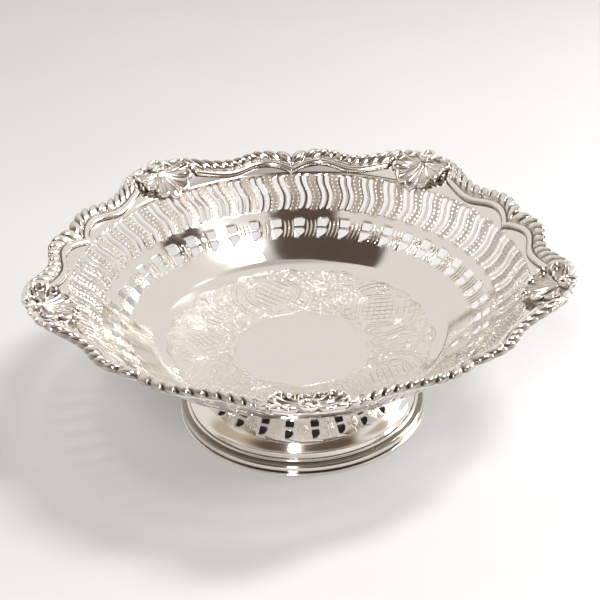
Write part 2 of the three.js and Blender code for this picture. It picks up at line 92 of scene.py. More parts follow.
TABLE_SIZE = 6.0
TABLE_DROP = 0.05
TABLE_ROUGHNESS = 0.6
TABLE_COLOUR = "#D3D5D9"
TABLE_CLOUD = "#CBCDD1"
bpy.ops.object.select_all(action="DESELECT")
bpy.ops.mesh.primitive_plane_add(size=TABLE_SIZE, location=(0, 0, -TABLE_DROP * MM))
table = bpy.context.object
table.name = "table"
table_finish, tree, shader = new_material("pale_table_top")
spot = add_node(tree, "ShaderNodeTexCoord").outputs["Object"]
cloud = add_node(tree, "ShaderNodeTexNoise", {"Vector": spot, "Scale": 9.0, "Detail": 4.0})
tint = mixed(tree, cloud.outputs["Fac"], linear(TABLE_COLOUR), linear(TABLE_CLOUD))
tree.links.new(tint, shader.inputs["Base Color"])
shader.inputs["Roughness"].default_value = TABLE_ROUGHNESS
table.data.materials.append(table_finish)

# Light: a pale surround, dimmer overhead, with the warm and dark parts of a room in front and on the
# left, where the metal mirrors them, and two small bright lamps in the ceiling. Three soft lamps
# stand above on the right, in front, and low at the back right.
SURROUND = "#E9E4DF"
OVERHEAD = "#BEB6B3"
ROOM_SHADE = "#5A4B43"
ROOM_WARM = "#BFB09C"
ROOM_LOW = "#665448"
LAMP_WHITE = "#FFFBF6"
CEILING_LAMP = [1.5, 1.46, 1.4, 1]
# Each part of the room has its colour, and along each axis where it starts and where it is full. They
# lie low on the left, high in front, low on the right and low in front, with a pale foreground.
ROOM_PARTS = [
    (ROOM_WARM, ("Y", 0.35, 0.1), ("Z", 0.6, 0.5), ("X", 0.55, 0.2)),
    (ROOM_WARM, ("Y", -0.1, -0.35), ("Z", 0.88, 0.76), ("X", 0.8, 0.62)),
    (ROOM_WARM, ("Y", 0.15, -0.1), ("Z", 0.5, 0.4), ("X", 0.55, 0.7)),
    (ROOM_LOW, ("Y", -0.3, -0.6), ("Z", 0.76, 0.68), ("X", 0.8, 0.62)),
    (SURROUND, ("Y", -0.1, -0.4), ("Z", 0.3, 0.18)),
]
# Each patch has its direction and its inner and outer angle.
OVERHEAD_PATCH = ((0.12, 0.08, 1), 6, 22)
SHADE_PATCHES = [
    ((-0.05, -0.3, 0.95), 12, 16), ((-0.28, -0.1, 0.95), 9, 13), ((-0.42, -0.02, 0.91), 6, 9),
    ((-0.05, -0.48, 0.875), 11, 16), ((0.64, -0.05, 0.765), 4, 6), ((0.7, 0.1, 0.71), 4, 6),
]
PALE_PATCHES = [((0.42, -0.36, 0.83), 5, 10)]
LAMP_PATCHES = [((0.45, 0.33, 0.83), 3, 5), ((0.33, 0.62, 0.71), 3, 5)]
world = bpy.data.worlds.new("soft_studio")
bpy.context.scene.world = world
world.use_nodes = True
tree = world.node_tree
direction = add_node(tree, "ShaderNodeTexCoord").outputs["Generated"]


def patch(towards, inner, outer):
    """One where the surround lies within the inner angle of a direction, none past the outer."""
    aim = Vector(towards).normalized()
    dot = add_node(tree, "ShaderNodeVectorMath", {0: direction, 1: aim}, operation="DOT_PRODUCT")
    return add_node(tree, "ShaderNodeMapRange", {
        "Value": dot.outputs["Value"],
        "From Min": math.cos(math.radians(outer)), "From Max": math.cos(math.radians(inner)),
    }, interpolation_type="SMOOTHSTEP").outputs["Result"]


axes = add_node(tree, "ShaderNodeSeparateXYZ", {"Vector": direction})


def band(axis, start, full):
    """None before one place along an axis of the surround, one past the other."""
    return add_node(tree, "ShaderNodeMapRange", {
        "Value": axes.outputs[axis], "From Min": start, "From Max": full,
    }, interpolation_type="SMOOTHSTEP").outputs["Result"]


def room_part(limits):
    """One where the surround lies inside all the limits."""
    share = band(*limits[0])
    for limit in limits[1:]:
        inputs = {0: share, 1: band(*limit)}
        share = add_node(tree, "ShaderNodeMath", inputs, operation="MULTIPLY").outputs["Value"]
    return share


sky = mixed(tree, patch(*OVERHEAD_PATCH), linear(SURROUND), linear(OVERHEAD))
for colour, *limits in ROOM_PARTS:
    sky = mixed(tree, room_part(limits), sky, linear(colour))
for colour, patches in (
    (linear(ROOM_SHADE), SHADE_PATCHES),
    (linear(SURROUND), PALE_PATCHES),
    (CEILING_LAMP, LAMP_PATCHES),
):
    for spec in patches:
        sky = mixed(tree, patch(*spec), sky, colour)
tree.links.new(sky, tree.nodes["Background"].inputs["Color"])


def soft_lamp(name, stand, width, height, roll, power):
    """A lamp that faces the dish: its place and size in metres, its roll in degrees, its watts."""
    lamp_data = bpy.data.lights.new(name, "AREA")
    lamp_data.shape = "RECTANGLE"
    lamp_data.size, lamp_data.size_y = width, height
    lamp_data.energy = power
    lamp_data.color = linear(LAMP_WHITE)[:3]
    lamp = bpy.data.objects.new(name, lamp_data)
    lamp.location = stand
    aim = (-Vector(stand)).to_track_quat("-Z", "Y")
    lamp.rotation_euler = (aim @ Quaternion((0, 0, 1), math.radians(roll))).to_euler()
    bpy.context.collection.objects.link(lamp)


soft_lamp("panel_lamp", (0.48, -0.10, 1.15), 0.19, 0.36, 31, 8.4)
soft_lamp("front_lamp", (-0.21, -0.97, 0.84), 0.1, 0.45, 0, 8.6)
soft_lamp("side_lamp", (0.68, 0.2, 0.25), 0.34, 0.2, 0, 3.2)

# Silver plate: bright silver electroplated on nickel silver and buffed. It mirrors the room a
# little softly, with hairline polishing scratches. A warm dark colour, partly tarnish and partly
# painted shade, is painted into its recesses, grooves and undersides.
SILVER_COLOUR = "#F1EEEA"
# The warm dark colour of painted shade, with some tarnish, in recesses and undersides.
TARNISH_AND_SHADE_COLOUR = "#6E6253"
CHASED_COLOUR = "#F3F0E9"
MATTED_ROUGHNESS = 0.14
HAIRLINE_STRENGTH = 0.04
MARK_DEPTH = 0.2 * MM


def silver_plate(name, roughness, tarnish_and_shade, colour=SILVER_COLOUR, punched=0):
    """Silver of a roughness, with painted shade and tarnish and punch marks, each none to one."""
    material, tree, shader = new_material(name)
    spot = add_node(tree, "ShaderNodeTexCoord").outputs["Object"]
    # Soft patches about 12 mm across where the polish is duller.
    dull = add_node(tree, "ShaderNodeTexNoise", {"Vector": spot, "Scale": 80.0, "Detail": 3.0})
    polish = add_node(tree, "ShaderNodeMapRange", {
        "Value": dull.outputs["Fac"], "From Min": 0.3, "From Max": 0.7,
        "To Min": roughness * 0.7, "To Max": roughness * 1.4,
    })
    # Ground that is struck with a matting punch is duller still.
    matted = add_node(tree, "ShaderNodeAttribute", attribute_name="matting")
    dullness = add_node(tree, "ShaderNodeMath", {
        0: matted.outputs["Fac"], 1: MATTED_ROUGHNESS, 2: polish.outputs["Result"],
    }, operation="MULTIPLY_ADD")
    tree.links.new(dullness.outputs["Value"], shader.inputs["Roughness"])
    # Hairlines about 0.4 mm apart, drawn coarser than real ones so that they show.
    hair = add_node(tree, "ShaderNodeMapping", {"Vector": spot, "Scale": (2500, 260, 2500)})
    hair.inputs["Rotation"].default_value = (0.3, 0.2, 0.7)
    scratch = add_node(tree, "ShaderNodeTexNoise", {
        "Vector": hair.outputs["Vector"], "Scale": 1.0, "Detail": 2.0,
    })
    bump = add_node(tree, "ShaderNodeBump", {
        "Height": scratch.outputs["Fac"], "Strength": HAIRLINE_STRENGTH, "Distance": MARK_DEPTH,
    })
    # Marks of the matting punch, about 0.8 mm apart.
    marks = add_node(tree, "ShaderNodeTexVoronoi", {"Vector": spot, "Scale": 1250.0})
    ground = add_node(tree, "ShaderNodeBump", {
        "Height": marks.outputs["Distance"], "Strength": punched, "Distance": MARK_DEPTH,
        "Normal": bump.outputs["Normal"],
    })
    tree.links.new(ground.outputs["Normal"], shader.inputs["Normal"])
    # Painted shade with tarnish: a darkening share on each piece's vertices mixes the dark colour in.
    darkened = add_node(tree, "ShaderNodeAttribute", attribute_name="tarnish_and_shade")
    depth = add_node(tree, "ShaderNodeMath", {
        0: darkened.outputs["Fac"], 1: tarnish_and_shade,
    }, operation="MULTIPLY")
    tone = mixed(tree, depth.outputs["Value"], linear(colour), linear(TARNISH_AND_SHADE_COLOUR))
    tree.links.new(tone, shader.inputs["Base Color"])
    shader.inputs["Metallic"].default_value = 1.0
    return material


sheet_silver = silver_plate("polished_silver_plate", 0.08, 0.8)
cast_silver = silver_plate("cast_silver_plate", 0.15, 0.76)
chased_silver = silver_plate("chased_silver_plate", 0.22, 0.8, CHASED_COLOUR, 0.5)

# Base ring: a drawn and bent moulding of nickel silver, soldered under the lip of the foot. From
# the table up it has a thin lip, a groove, a wide torus and a small bead.
RING_SIDES = 240
RING_SMOOTH = 50
PAINTED_DARK_NEAR = 0.1
RING_PROFILE = [
    (43.2, 0.0), (49.75, 0.0), (50.0, 0.25), (50.0, 0.75), (49.8, 1.0), (49.3, 1.05), (48.95, 1.2),
    (49.05, 1.5), (49.4, 1.95), (49.58, 2.45), (49.6, 2.9), (49.45, 3.45), (49.1, 3.95), (48.6, 4.25),
    (48.0, 4.35), (47.5, 4.35), (47.25, 4.45), (47.3, 4.75), (47.22, 5.1), (46.95, 5.38), (46.6, 5.48),
    (46.25, 5.38), (46.0, 5.12), (45.9, 4.78), (45.9, 4.2), (43.2, 4.2),
]
# Points near which the ring is painted dark: painted shade in its two grooves, and a painted dark
# reflection along the top of the torus.
RING_PAINTED_DARK = [
    (49.3, 1.05), (48.95, 1.2), (49.05, 1.5), (49.1, 3.95), (48.6, 4.25), (48.0, 4.35), (47.5, 4.35),
    (47.25, 4.45), (47.3, 4.75),
]


def turned(name, profile, sides):
    """A closed ring turned from a profile: a circle, drawn out loop by loop."""
    bpy.ops.object.select_all(action="DESELECT")
    radius, height = profile[0]
    bpy.ops.mesh.primitive_circle_add(
        vertices=sides, radius=radius * MM, location=(0, 0, height * MM))
    piece = bpy.context.object
    piece.name = piece.data.name = name
    bpy.ops.object.transform_apply(location=True)
    bpy.ops.object.mode_set(mode="EDIT")
    bpy.ops.mesh.select_all(action="SELECT")
    for next_radius, next_height in profile[1:] + profile[:1]:
        scale = next_radius / radius
        bpy.ops.mesh.extrude_region_move(
            TRANSFORM_OT_translate={"value": (0, 0, (next_height - height) * MM)})
        bpy.ops.transform.resize(value=(scale, scale, 1), center_override=(0, 0, 0))
        radius, height = next_radius, next_height
    bpy.ops.mesh.select_all(action="SELECT")
    bpy.ops.mesh.remove_doubles(threshold=1e-6)
    bpy.ops.mesh.normals_make_consistent(inside=False)
    bpy.ops.object.mode_set(mode="OBJECT")
    return piece


def finish_piece(piece, finish, slot, *nodes):
    piece.data.materials.clear()
    piece.data.materials.append(finish)
    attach(piece, "root")
    if nodes:
        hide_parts(*nodes)


base_ring = turned("base_ring_moulding", RING_PROFILE, RING_SIDES)
# Painted shade and reflection: the vertices near those points take the full dark colour.
darkened = base_ring.data.attributes.new("tarnish_and_shade", "FLOAT", "POINT")
for vertex in base_ring.data.vertices:
    spot = (vertex.co.xy.length / MM, vertex.co.z / MM)
    nearest = min(math.dist(spot, low) for low in RING_PAINTED_DARK)
    darkened.data[vertex.index].value = 1 if nearest < PAINTED_DARK_NEAR else 0
bpy.ops.object.shade_smooth_by_angle(angle=math.radians(RING_SMOOTH))
finish_piece(base_ring, sheet_silver, "silver_plate", "base_ring")

# Foot: one sheet of nickel silver spun to a trumpet, pierced with small windows in pairs and chased
# with leaf strokes between them. Its seat is turned in and soldered under the bowl, and its lip
# stands in the base ring.
FOOT_PAIRS = 24
FOOT_COLUMNS = 12
FOOT_SHEET = 0.9
FOOT_EDGE = 0.1
FOOT_TURN = -1.7
FOOT_BAND_DARKENING = 0.4


def bezier(a, b, c, d, steps):
    """Points of a curve between two ends with two handles, without its first point."""
    points = []
    for i in range(1, steps + 1):
        t = i / steps
        u = 1 - t
        w = (u * u * u, 3 * u * u * t, 3 * u * t * t, t * t * t)
        points.append(tuple(sum(k * p[axis] for k, p in zip(w, (a, b, c, d))) for axis in (0, 1)))
    return points


def place(radius, bearing, height):
    """A point from its radius, its bearing from -Y towards +X in degrees, and its height, in mm."""
    turn = math.radians(bearing)
    return Vector((radius * math.sin(turn), -radius * math.cos(turn), height)) * MM


class Profile:
    """A sheet's visible face in section, followed by its length."""

    def __init__(self, points):
        self.points = points
        self.lengths = [0.0]
        for a, b in zip(points, points[1:]):
            self.lengths.append(self.lengths[-1] + math.dist(a, b))

    def at(self, length):
        i = 1
        while i < len(self.points) - 1 and self.lengths[i] < length:
            i += 1
        span = self.lengths[i] - self.lengths[i - 1]
        share = (length - self.lengths[i - 1]) / span
        a, b = self.points[i - 1], self.points[i]
        return a[0] + (b[0] - a[0]) * share, a[1] + (b[1] - a[1]) * share

    def length_at_radius(self, radius):
        i = 1
        while i < len(self.points) - 1 and self.points[i][0] < radius:
            i += 1
        a, b = self.points[i - 1], self.points[i]
        share = (radius - a[0]) / (b[0] - a[0])
        return self.lengths[i - 1] + share * (self.lengths[i] - self.lengths[i - 1])

    def lifted(self, length, bearing, across, lift):
        """A point off the face: sideways of a bearing in mm, and lifted to its left in section."""
        radius, height = self.at(length)
        low, high = self.at(length - 0.2), self.at(length + 0.2)
        span = math.dist(low, high)
        radius -= lift * (high[1] - low[1]) / span
        height += lift * (high[0] - low[0]) / span
        return place(radius, bearing + math.degrees(across / radius), height)


def wrapped_sheet(name, columns, rows, is_open, spot_at, darkening_at=None):
    """A flat grid with its openings cut out, then wrapped to its form and joined where it meets."""
    bpy.ops.object.select_all(action="DESELECT")
    bpy.ops.mesh.primitive_grid_add(x_subdivisions=columns, y_subdivisions=rows, size=1)
    piece = bpy.context.object
    piece.name = piece.data.name = name
    mesh = piece.data
    bpy.ops.object.mode_set(mode="EDIT")
    bpy.ops.mesh.select_mode(type="FACE")
    bpy.ops.mesh.select_all(action="DESELECT")
    bpy.ops.object.mode_set(mode="OBJECT")
    for face in mesh.polygons:
        column = math.floor((face.center.x + 0.5) * columns)
        row = math.floor((face.center.y + 0.5) * rows)
        face.select = is_open(column, row)
    bpy.ops.object.mode_set(mode="EDIT")
    bpy.ops.mesh.delete(type="FACE")
    bpy.ops.object.mode_set(mode="OBJECT")
    darkened = mesh.attributes.new("tarnish_and_shade", "FLOAT", "POINT") if darkening_at else None
    for vertex in mesh.vertices:
        column = round((vertex.co.x + 0.5) * columns)
        row = round((vertex.co.y + 0.5) * rows)
        vertex.co = spot_at(column, row)
        if darkened:
            darkened.data[vertex.index].value = darkening_at(column, row)
    bpy.ops.object.mode_set(mode="EDIT")
    bpy.ops.mesh.select_mode(type="VERT")
    bpy.ops.mesh.select_all(action="SELECT")
    bpy.ops.mesh.remove_doubles(threshold=1e-6)
    bpy.ops.object.mode_set(mode="OBJECT")
    return piece


def thicken(piece, sheet, edge):
    """Give a sheet its thickness, away from the side that its faces point to, and break its edges."""
    wall = piece.modifiers.new("wall", "SOLIDIFY")
    wall.thickness = sheet * MM
    wall.offset = -1
    wall.use_even_offset = True
    broken = piece.modifiers.new("broken_edge", "BEVEL")
    broken.width = edge * MM
    broken.segments = 2
    broken.limit_method = "ANGLE"
    broken.angle_limit = math.radians(50)
    even = piece.modifiers.new("even_normals", "WEIGHTED_NORMAL")
    even.keep_sharp = True
    bpy.ops.object.select_all(action="DESELECT")
    piece.select_set(True)
    bpy.context.view_layer.objects.active = piece
    for modifier in list(piece.modifiers):
        bpy.ops.object.modifier_apply(modifier=modifier.name)
    bpy.ops.object.shade_smooth()


# Painted shade along the foot of each chased line and, less, round each dot, so that they stand out.
LINE_EDGE_SHADE = 0.7
DOT_EDGE_SHADE = 0.26
STROKE_SINK = 0.03


def chased(name, strokes, lay):
    """Chased lines: one grid cut between the strokes, each laid as a low ridge with fine ends.

    A stroke is its origin, its points across and along in mm, its width and its height.
    """
    owners = []
    for stroke in strokes:
        owners += [(stroke, i) for i in range(len(stroke[1]))]

    def is_open(column, row):
        return owners[column][0] is not owners[column + 1][0]

    def spot_at(column, row):
        (origin, points, width, height), i = owners[column]
        last = len(points) - 1
        before, after = points[max(i - 1, 0)], points[min(i + 1, last)]
        run = math.dist(before, after) or 1
        swell = math.sin(math.pi * i / last) ** 0.6 if 0 < i < last else 0
        aside = (row - 1) * width / 2 * swell / run
        x = points[i][0] - (after[1] - before[1]) * aside
        y = points[i][1] + (after[0] - before[0]) * aside
        return lay(origin, x, y, height * swell if row == 1 else -STROKE_SINK)

    def darkening_at(column, row):
        """Painted shade: none on the crest, much along the edges of a line, less round a dot of three
        points.
        """
        if row == 1:
            return 0
        return LINE_EDGE_SHADE if len(owners[column][0][1]) > 3 else DOT_EDGE_SHADE

    return wrapped_sheet(name, len(owners) - 1, 2, is_open, spot_at, darkening_at)


foot_profile = Profile(
    [(29.0, 24.75), (32.5, 25.3), (32.9, 25.2), (33.0, 24.9)]
    + bezier((33.0, 24.9), (33.0, 22.0), (33.0, 18.6), (35.0, 16.0), 12)
    + bezier((35.0, 16.0), (37.1, 14.0), (39.4, 11.8), (41.7, 9.6), 12)
    + bezier((41.7, 9.6), (43.2, 8.1), (43.9, 6.0), (45.85, 5.5), 8)
)
# The band of windows starts where the first curve of the trumpet ends.
foot_band = foot_profile.lengths[15]
foot_end = foot_profile.lengths[-1]
FOOT_SQUARE_TOP = 1.0
FOOT_SQUARE = 2.3
FOOT_BRIDGE = 1.4
FOOT_POINTED = 3.2
FOOT_POINTED_LEAN = 0.8
FOOT_RIB = 0.36
FOOT_SQUARE_HALVES = [1.6, 1.65, 1.65, 1.6]
FOOT_POINTED_HALVES = [1.15, 1.5, 1.6, 1.5, 1.15, 0.7, 0.12]
FOOT_POINTED_STEPS = [0, 0.12, 0.3, 0.5, 0.72, 0.88, 1]
# Rows of the sheet by their distance along the profile, from the seat to the lip.
foot_rows = [0.0, 1.8, 3.4, 3.75, 4.1] + [4.1 + (foot_band - 4.1) * i / 8 for i in range(1, 9)]
foot_square_row = len(foot_rows)
square_start = foot_band + FOOT_SQUARE_TOP
foot_rows += [square_start + FOOT_SQUARE * share for share in (0, 0.33, 0.67, 1)]
foot_pointed_row = len(foot_rows)
pointed_start = square_start + FOOT_SQUARE + FOOT_BRIDGE
foot_rows += [pointed_start + FOOT_POINTED * share for share in FOOT_POINTED_STEPS]
plain_start = foot_rows[-1]
foot_rows += [plain_start + (foot_end - plain_start) * i / 8 for i in range(1, 9)]


def across_unit(spread, step):
    """Place of a column in its unit, from the places of the first half, which the second mirrors."""
    return spread[step] if step < len(spread) else 1 - spread[2 * len(spread) - 2 - step]


def window_spread(half, rib):
    """Places of the columns over half a unit: three across the bar, then three to mid-window."""
    bar = 0.5 - half
    return [0, bar * rib, bar * 2 * rib, bar, 0.5 - half * 2 / 3, 0.5 - half / 3, 0.5]


def foot_spot(column, row):
    radius, height = foot_profile.at(foot_rows[row])
    unit, step = divmod(column, FOOT_COLUMNS)
    share = step / FOOT_COLUMNS
    if foot_square_row <= row < foot_pointed_row + len(FOOT_POINTED_HALVES):
        width = (FOOT_SQUARE_HALVES + FOOT_POINTED_HALVES)[row - foot_square_row]
        half = width / (2 * math.pi * radius / FOOT_PAIRS)
        share = across_unit(window_spread(half, FOOT_RIB), step)
        if row >= foot_pointed_row:
            share -= FOOT_POINTED_LEAN * (max(FOOT_POINTED_HALVES) - width) * half / width
    return place(radius, (unit + share) * 360 / FOOT_PAIRS + FOOT_TURN, height)


def foot_open(column, row):
    """The middle six columns of a unit, over the rows of its two windows."""
    square = foot_square_row <= row < foot_pointed_row - 1
    pointed = foot_pointed_row <= row < foot_pointed_row + len(FOOT_POINTED_HALVES) - 1
    return 3 <= column % FOOT_COLUMNS < 9 and (square or pointed)


# The rows of the windows are painted darker than the plain sheet above and below them.
def foot_darkening(column, row):
    pierced = foot_square_row <= row < foot_pointed_row + len(FOOT_POINTED_HALVES)
    return FOOT_BAND_DARKENING if pierced else 0


foot = wrapped_sheet(
    "foot_trumpet", FOOT_PAIRS * FOOT_COLUMNS, len(foot_rows) - 1,
    foot_open, foot_spot, foot_darkening)
bpy.ops.object.mode_set(mode="EDIT")
bpy.ops.mesh.select_all(action="SELECT")
bpy.ops.mesh.flip_normals()
bpy.ops.object.mode_set(mode="OBJECT")
thicken(foot, FOOT_SHEET, FOOT_EDGE)
finish_piece(foot, sheet_silver, "silver_plate", "foot")

# Three leaf strokes on each side of a bar, by their start across and their sweep.
FOOT_LEAVES = [(0.25, 0.2), (0.9, 0.9), (1.6, 1.5)]
FOOT_LEAF_STEPS = [0, 0.14, 0.3, 0.46, 0.62, 0.78, 0.9, 1]
FOOT_LEAF_WIDTH = 0.55
FOOT_LEAF_HEIGHT = 0.22
foot_strokes = []
for unit in range(FOOT_PAIRS):
    bar = unit * 360 / FOOT_PAIRS + FOOT_TURN
    for side in (-1, 1):
        for i, (start, sweep) in enumerate(FOOT_LEAVES):
            top, base = square_start - 0.2 + 0.5 * i, plain_start + 0.7 - 0.9 * i
            points = []
            for t in FOOT_LEAF_STEPS:
                across = start * (0.55 + 0.45 * t) + sweep * math.sin(t * math.pi) * 0.45 - 0.25 * t
                points.append((side * across, top + (base - top) * t))
            foot_strokes.append((bar, points, FOOT_LEAF_WIDTH, FOOT_LEAF_HEIGHT))


def lay_on_foot(bar, x, y, lift):
    return foot_profile.lifted(y, bar, x, lift)


foot_chasing = chased("foot_chasing", foot_strokes, lay_on_foot)
finish_piece(foot_chasing, chased_silver, "silver_plate")

# Bowl: one sheet of nickel silver, spun to a dished floor, a cove and a sloping wall, pierced by
# saw and punch, with a flange that is cut to the bracket outline and carries the border.
SLOT_PAIRS = 54
SLOT_COLUMNS = 10
WINDOW_PAIRS = 45
WINDOW_COLUMNS = 12
BOWL_SHEET = 1.0
BOWL_EDGE = 0.12
FLOOR_LOW = 25.0
FLOOR_FLAT = 18.0
FLOOR_EDGE = (56.0, 32.75)
WALL_FOOT = (59.0, 34.26)
WALL_TOP = (88.4, 62.1)
BOWL_COLUMNS = SLOT_PAIRS * SLOT_COLUMNS
WINDOW_TURN = -1.9
STRIP_DARKENING = 0.4
SIDES = 5
SIDE_ANGLE = 72
MID_SIDE = 36
BULGE_OFF = 8
DIP_OFF = 17
EDGE_INSET = 3.0

bowl_profile = Profile(
    [(0.0, FLOOR_LOW), (FLOOR_FLAT, FLOOR_LOW)]
    + bezier((FLOOR_FLAT, FLOOR_LOW), (27.67, FLOOR_LOW), (40.33, 27.58), FLOOR_EDGE, 20)
    + bezier(FLOOR_EDGE, (57.2, 33.15), (58.0, 33.56), WALL_FOOT, 16)
    + bezier(WALL_FOOT, (71.5, 43.0), (79.4, 51.3), WALL_TOP, 48)
    + bezier(WALL_TOP, (91.8, 64.4), (97.5, 66.9), (108.4, 69.1), 24)
)
# The ends of the profile's curves: floor and cove, cove and wall, wall and flange.
cove_start = bowl_profile.lengths[21]
wall_start = bowl_profile.lengths[37]
wall_end = bowl_profile.lengths[85]


def along_side(bearing, notch, bulge, dip, corner, reached):
    """A value along one side: the notch at its middle, then the bulge, the dip and the corner."""
    off = abs((bearing % SIDE_ANGLE) - MID_SIDE)
    if off < BULGE_OFF:
        return notch + (bulge - notch) * math.sin(off / BULGE_OFF * math.pi / 2)
    if off < DIP_OFF:
        turn = (off - BULGE_OFF) / (DIP_OFF - BULGE_OFF) * math.pi
        return bulge + (dip - bulge) * (1 - math.cos(turn)) / 2
    share = min(1, (off - DIP_OFF) / (reached - DIP_OFF))
    return dip + (corner - dip) * (1 - math.cos(share * math.pi)) / 2


def outline_radius(bearing):
    return along_side(bearing, 97.0, 99.3, 96.4, 105.0, 33)


def wire_radius(bearing):
    return along_side(bearing, 88.7, 92.8, 89.8, 98.1, 36)


def bowl_height(radius):
    return bowl_profile.at(bowl_profile.length_at_radius(radius))[1]


# The S-shaped slots and the windows under them, by their distance down the wall from its top.
SLOT_TOP = 1.3
SLOT_LENGTH = 15.6
SLOT_SWAY = -2.5
SLOT_GAP = 1.5
SLOT_WIDE = 1.9
SLOT_NARROWING = 0.55
SLOT_MEAN = 1.65
SLOT_END = 0.85
SLOT_BLUNT = 0.34
SLOT_FOOT = 17.4
SQUARE_TOP = 21.4
SQUARE_HEIGHT = 3.6
WINDOW_BRIDGE = 0.9
POINTED_HEIGHT = 4.4
POINTED_LEAN = 0.8
WINDOW_RIB = 0.35
SQUARE_HALVES = [2.1, 2.15, 2.1, 2.0, 1.9]
SQUARE_STEPS = [0, 0.2, 0.5, 0.75, 1]
POINTED_HALVES = [1.45, 1.85, 2.1, 2.1, 1.85, 1.35, 0.75, 0.12]
POINTED_STEPS = [0, 0.08, 0.22, 0.38, 0.54, 0.72, 0.88, 1]
SLOT_STEPS = [0, 0.2, 0.5, 0.95, 1.7, 2.9, 4.2, 5.5, 6.8, 8.1, 9.4, 10.7, 11.9, 13.0, 13.9]
SLOT_STEPS += [14.55, 15.0, 15.35, SLOT_LENGTH]
FLANGE_SPREAD = [0, 0.13, 0.25, 0.337, 0.424, 0.5]
pointed_top = SQUARE_TOP + SQUARE_HEIGHT + WINDOW_BRIDGE
# Rows of the sheet from its edge to its floor: on the flange by their share of it, down the wall and
# the cove by their distance from the wall's top, and on the floor by their radius.
bowl_rows = [("flange", share) for share in (1, 0.62, 0.25, 0.12, 0.04, 0.01, -0.014)]
slot_row = len(bowl_rows)
bowl_rows += [("slot", SLOT_TOP + step) for step in SLOT_STEPS]
bowl_rows += [("slot", SLOT_FOOT)]
bowl_rows += [("plain", down) for down in (18.6, 20.0)]
square_row = len(bowl_rows)
bowl_rows += [("window", SQUARE_TOP + SQUARE_HEIGHT * step) for step in SQUARE_STEPS]
pointed_row = len(bowl_rows)
bowl_rows += [("window", pointed_top + POINTED_HEIGHT * step) for step in POINTED_STEPS]
wall_length = wall_end - wall_start
plain_top = pointed_top + POINTED_HEIGHT + 0.8
bowl_rows += [("plain", plain_top + (wall_length - plain_top) * i / 4) for i in range(5)]
bowl_rows += [("plain", wall_length + (wall_start - cove_start) * i / 7) for i in range(1, 8)]
floor_width = FLOOR_FLAT - FLOOR_EDGE[0]
bowl_rows += [("floor", FLOOR_EDGE[0] + floor_width * i / 14) for i in range(1, 15)]


def slot_half(down):
    """Half a slot's width down its length: wide above, narrow below, with round ends."""
    width = SLOT_WIDE - SLOT_NARROWING * down / SLOT_LENGTH
    near = min(down, SLOT_LENGTH - down)
    if near < SLOT_END:
        width *= max(SLOT_BLUNT, math.sqrt(max(0, 1 - (1 - near / SLOT_END) ** 2)))
    return width / 2


def slot_sway(down):
    """Offset of a slot's middle down its length: straight, then out, and back at its foot."""
    share = min(1, max(0, (down - SLOT_TOP) / SLOT_LENGTH))
    out = min(1, max(0, (share - 0.1) / 0.54))
    back = max(0, (share - 0.64) / 0.36)
    swing = (1 - math.cos(out * math.pi)) / 2
    return SLOT_SWAY * (-0.5 + swing - 0.5 * (1 - math.cos(back * math.pi / 2)))


def bowl_bearing(column, row):
    """The columns gather at the edges of the slots, and of the windows below them."""
    kind, value = bowl_rows[row]
    if kind == "window":
        radius = bowl_profile.at(wall_end - value)[0]
        unit, step = divmod(column, WINDOW_COLUMNS)
        width = (SQUARE_HALVES + POINTED_HALVES)[row - square_row]
        half = width / (2 * math.pi * radius / WINDOW_PAIRS)
        share = across_unit(window_spread(half, WINDOW_RIB), step)
        if row >= pointed_row:
            share += POINTED_LEAN * (max(POINTED_HALVES) - width) * half / width
        return (unit + share) * 360 / WINDOW_PAIRS + WINDOW_TURN
    unit, step = divmod(column, SLOT_COLUMNS)
    if kind == "slot":
        radius = bowl_profile.at(wall_end - value)[0]
        pitch = 2 * math.pi * radius / SLOT_PAIRS
        half = slot_half(min(value - SLOT_TOP, SLOT_LENGTH)) / pitch
        middle = 0.5 - (SLOT_GAP + SLOT_MEAN) / 2 / pitch
        spread = [0, (middle - half) * 0.55, middle - half, middle, middle + half, 0.5]
        share = across_unit(spread, step)
        return (unit + share + slot_sway(value) / pitch) * 360 / SLOT_PAIRS
    if kind == "flange":
        return (unit + across_unit(FLANGE_SPREAD, step)) * 360 / SLOT_PAIRS
    return column * 360 / BOWL_COLUMNS + WINDOW_TURN / 2


def bowl_spot(column, row):
    kind, value = bowl_rows[row]
    bearing = bowl_bearing(column, row)
    if kind == "floor":
        return place(value, bearing, bowl_height(value))
    if kind == "flange":
        radius = WALL_TOP[0] + (outline_radius(bearing) - EDGE_INSET - WALL_TOP[0]) * value
        return place(radius, bearing, bowl_height(radius))
    radius, height = bowl_profile.at(wall_end - value)
    return place(radius, bearing, height)


def bowl_open(column, row):
    pointed = pointed_row <= row < pointed_row + len(POINTED_STEPS) - 1
    square = square_row <= row < pointed_row - 1
    if pointed or square:
        return 3 <= column % WINDOW_COLUMNS < 9
    if slot_row <= row < slot_row + len(SLOT_STEPS) - 1:
        return column % SLOT_COLUMNS in (2, 3, 6, 7)
    return False


def bowl_darkening(column, row):
    """The strips between the pairs of slots are matted and painted darker, the ribs inside a pair
    polished.
    """
    on_strip = bowl_rows[row][0] == "slot" and column % SLOT_COLUMNS in (9, 0, 1)
    return STRIP_DARKENING if on_strip else 0


